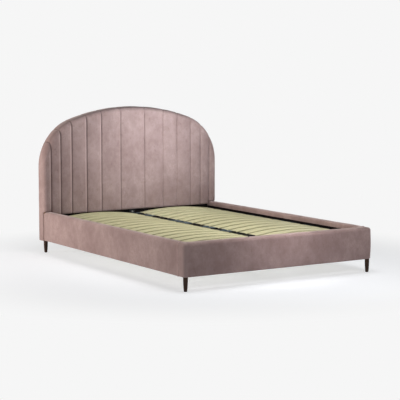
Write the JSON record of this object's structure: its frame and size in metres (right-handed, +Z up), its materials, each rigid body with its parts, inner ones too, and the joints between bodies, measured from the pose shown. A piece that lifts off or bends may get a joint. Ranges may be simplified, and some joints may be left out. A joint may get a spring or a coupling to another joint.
{
  "type": "upholstered bed frame",
  "caption": "Velvet upholstered bed frame with an arched headboard padded in upright flutes, padded rails, sprung bowed slats, a centre rail and tapered wooden legs.",
  "frame": {"origin": "On the floor, at the middle of the bed's box in length and width.", "axes": "+X to the right seen from the foot end, +Y from the foot rail to the headboard, +Z up."},
  "size_m": [1.654, 2.26, 1.174],
  "materials": {
    "velvet": "short soft pile",
    "black_lining": "thin woven cloth",
    "plywood": "raw",
    "pine": "planed",
    "slat_wood": "pressed birch layers",
    "dark_wood": "dark stain, satin",
    "black_plastic": "moulded",
    "black_steel": "powder coat",
    "zinc_steel": "zinc plated"
  },
  "bodies": {
    "bed": {"headboard_fluted_pad": "velvet", "headboard_border": "velvet", "left_rail_cover": "velvet", "right_rail_cover": "velvet", "foot_rail_cover": "velvet", "headboard_face_panel": "plywood", "headboard_timber_frame": "pine", "headboard_back_panel": "black_lining", "headboard_lower_lining": "black_lining", "left_rail_board": "plywood", "right_rail_board": "plywood", "foot_rail_board": "plywood", "slat_ledges": "pine", "side_slat_holders": "black_plastic", "centre_slat_holders": "black_plastic", "centre_rail": "black_steel", "centre_rail_brackets": "black_steel", "head_centre_leg": "black_steel", "foot_centre_leg": "black_steel", "front_left_leg": "dark_wood", "front_right_leg": "dark_wood", "rear_left_leg": "dark_wood", "rear_right_leg": "dark_wood", "leg_hanger_bolts": "zinc_steel", "corner_brackets": "black_steel", "bracket_bolts": "zinc_steel", "left_slat_01": "slat_wood", "left_slat_02": "slat_wood", "left_slat_03": "slat_wood", "left_slat_04": "slat_wood", "left_slat_05": "slat_wood", "left_slat_06": "slat_wood", "left_slat_07": "slat_wood", "left_slat_08": "slat_wood", "left_slat_09": "slat_wood", "left_slat_10": "slat_wood", "left_slat_11": "slat_wood", "left_slat_12": "slat_wood", "left_slat_13": "slat_wood", "left_slat_14": "slat_wood", "left_slat_15": "slat_wood", "left_slat_16": "slat_wood", "right_slat_01": "slat_wood", "right_slat_02": "slat_wood", "right_slat_03": "slat_wood", "right_slat_04": "slat_wood", "right_slat_05": "slat_wood", "right_slat_06": "slat_wood", "right_slat_07": "slat_wood", "right_slat_08": "slat_wood", "right_slat_09": "slat_wood", "right_slat_10": "slat_wood", "right_slat_11": "slat_wood", "right_slat_12": "slat_wood", "right_slat_13": "slat_wood", "right_slat_14": "slat_wood", "right_slat_15": "slat_wood", "right_slat_16": "slat_wood"},
    "head_foot": {"head_levelling_foot": "black_plastic"},
    "foot_foot": {"foot_levelling_foot": "black_plastic"}
  },
  "joints": [
    {"name": "head_levelling_screw", "type": "slide", "parent": "bed", "child": "head_foot", "axis": [0, 0, -1], "range_m": [0, 0.012]},
    {"name": "foot_levelling_screw", "type": "slide", "parent": "bed", "child": "foot_foot", "axis": [0, 0, -1], "range_m": [0, 0.012]}
  ]
}
